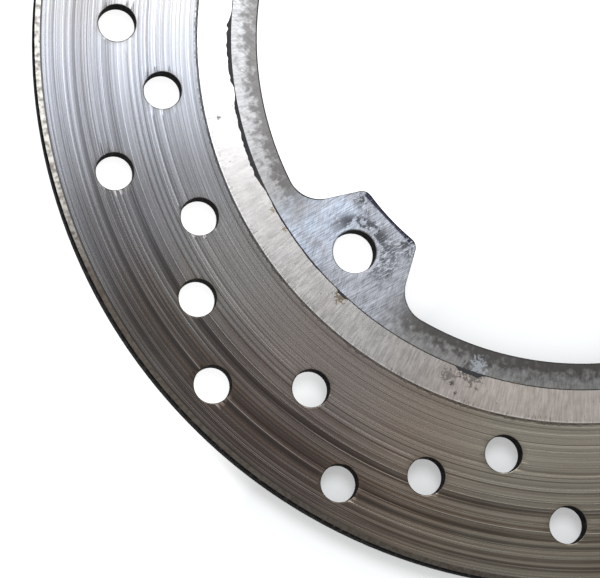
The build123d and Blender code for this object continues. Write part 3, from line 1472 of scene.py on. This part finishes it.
@dataclass(frozen=True)
class Lamp:
    """A soft square lamp, placed in the view's own directions.

    Attributes:
        place: Where it stands: to the right, up the view and above the disc, in metres.
        size: Length of its side in metres.
        power: Its power in watts.
        tint: The colour of its light.
    """

    place: tuple[float, float, float]
    size: float
    power: float
    tint: Colour = (1.0, 1.0, 1.0)


@dataclass(frozen=True)
class Studio:
    """Pale floor, one soft lamp, an even room and the camera over the disc's lower left quarter.

    Attributes:
        turn: Angle from the view's right-hand direction to +X, in degrees.
        eye: The camera's place in the view's directions, in metres.
        aim: The point of the disc that the camera looks at.
        roll: How far the camera is turned about its own axis, in degrees.
        lens: Focal length in mm, on a 36 mm frame.
        world: Colour of the light that the room gives from all sides.
        paper: The floor's own colour.
        glow_with_painted_shade: How brightly the floor shows to the upper left and to the lower right in
            the view; the dimmer lower right is painted shade seen through the holes there.
        fade: How far the change between the two goes, in metres.
        lamps: The lamps above the disc.
    """

    sizes: DiscSizes
    turn: float = 7.1
    eye: tuple[float, float, float] = (-0.1268, -0.1242, 0.5670)
    aim: tuple[float, float, float] = (-0.0564, -0.0500, 0.0)
    roll: float = 0.48
    lens: float = 172.8
    world: Colour = (0.80, 0.81, 0.82)
    paper: Colour = (0.7, 0.71, 0.7)
    glow_with_painted_shade: tuple[float, float] = (0.80, 0.30)
    fade: float = 0.025
    lamps: tuple[Lamp, ...] = (Lamp((0.05, 0.555, 1.30), 0.6, 7.5, (0.96, 0.99, 1.04)),)

    def _turned(self, place: Iterable[float]) -> Vector:
        """Turns a place from the view's directions to the disc's own."""
        return Matrix.Rotation(math.radians(-self.turn), 3, "Z") @ Vector(place)

    def build(self) -> None:
        """Sets up floor, world, lamps and camera."""
        self._floor()
        self._world()
        for number, lamp in enumerate(self.lamps):
            self._lamp(number, lamp)
        self._camera()

    def _floor(self) -> None:
        """Lays a pale floor right under the disc, which is open to a view from below."""
        Bench.clear()
        bpy.ops.mesh.primitive_plane_add(size=6, location=(0, 0, -self.sizes.seat_face - 0.02 * MM))
        floor = bpy.context.object
        floor.name = "studio_floor"
        material = bpy.data.materials.new("studio_floor")
        web = Wiring(material)
        paper, glow_with_painted_shade, lift = web.node("BsdfDiffuse"), web.node("Emission"), web.node("AddShader")
        web.feed(paper.inputs["Color"], (*self.paper, 1))
        slope = web.node("VectorMath", operation="DOT_PRODUCT")
        web.feed(slope.inputs[0], web.node("TexCoord").outputs["Object"])
        web.feed(slope.inputs[1], self._turned((1, -1, 0)))
        # Painted shade: the floor's brightness dims towards the view's lower right, where it is seen
        # through the holes.
        level = web.spread(web.node("MapRange"), (slope.outputs["Value"], 0.0, self.fade, *self.glow_with_painted_shade))
        web.feed(glow_with_painted_shade.inputs["Strength"], web.calc(Op.MULTIPLY, web.seen(), level))
        web.feed(lift.inputs[0], paper.outputs[0])
        web.feed(lift.inputs[1], glow_with_painted_shade.outputs[0])
        under = web.node("NewGeometry").outputs["Backfacing"]
        surface = web.either(under, lift.outputs[0], web.node("BsdfTransparent").outputs[0])
        web.feed(web.node("OutputMaterial").inputs["Surface"], surface)
        floor.data.materials.append(material)

    def _world(self) -> None:
        """Fills the room with an even pale light, against a plain background."""
        world = bpy.data.worlds.new("studio")
        bpy.context.scene.world = world
        web = Wiring(world)
        room, background = web.node("Background"), web.node("Background")
        web.feed(room.inputs["Color"], (*self.world, 1))
        surface = web.either(web.seen(), room.outputs[0], background.outputs[0])
        web.feed(web.node("OutputWorld").inputs["Surface"], surface)

    def _lamp(self, number: int, lamp: Lamp) -> None:
        """Hangs one soft lamp that faces the disc's visible quarter."""
        data = bpy.data.lights.new(f"lamp_{number}", "AREA")
        data.size = lamp.size
        data.energy = lamp.power
        data.color = lamp.tint
        piece = bpy.data.objects.new(f"lamp_{number}", data)
        place, aim = self._turned(lamp.place), self._turned(self.aim)
        piece.location = place
        piece.rotation_euler = (aim - place).to_track_quat("-Z", "Y").to_euler()
        bpy.context.scene.collection.objects.link(piece)

    def _camera(self) -> None:
        """Stands the camera over the disc's lower left."""
        data = bpy.data.cameras.new("camera")
        data.lens = self.lens
        data.clip_start = 0.01
        piece = bpy.data.objects.new("camera", data)
        bpy.context.scene.collection.objects.link(piece)
        bpy.context.scene.camera = piece
        look = (self._turned(self.aim) - self._turned(self.eye)).normalized()
        right = look.cross(self._up()).normalized()
        top = right.cross(look)
        piece.matrix_world = Matrix.Translation(self._turned(self.eye)) @ Matrix(
            (right, top, -look)
        ).transposed().to_4x4()

    def _up(self) -> Vector:
        """Gives the direction that is up in the view."""
        roll = math.radians(self.roll)
        return self._turned((math.sin(roll), math.cos(roll), 0))


def report(piece: bpy.types.Object) -> None:
    """Logs what a finished piece is made of."""
    mesh = piece.data
    LOG.info("%s: %d points, %d faces", piece.name, len(mesh.vertices), len(mesh.polygons))


def main() -> None:
    """Builds the disc, dresses it and sets up the studio."""
    logging.basicConfig(level=logging.INFO, format="%(name)s: %(message)s")
    sizes = DiscSizes.from_frame()
    disc = Disc(sizes).build()
    Wardrobe(sizes).dress(disc)
    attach(disc, "root")
    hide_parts("rotor")
    report(disc)
    for crust_plan in (
        SeamCrust(sizes, "seam_crust_top", 1, UPPER_PATCHES),
        SeamCrust(sizes, "seam_crust_bottom", -1, LOWER_PATCHES),
    ):
        crust = crust_plan.build()
        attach(crust, "root")
        report(crust)
    Studio(sizes).build()
    bpy.context.scene.view_settings.view_transform = "Standard"


if __name__ == "__main__":
    main()
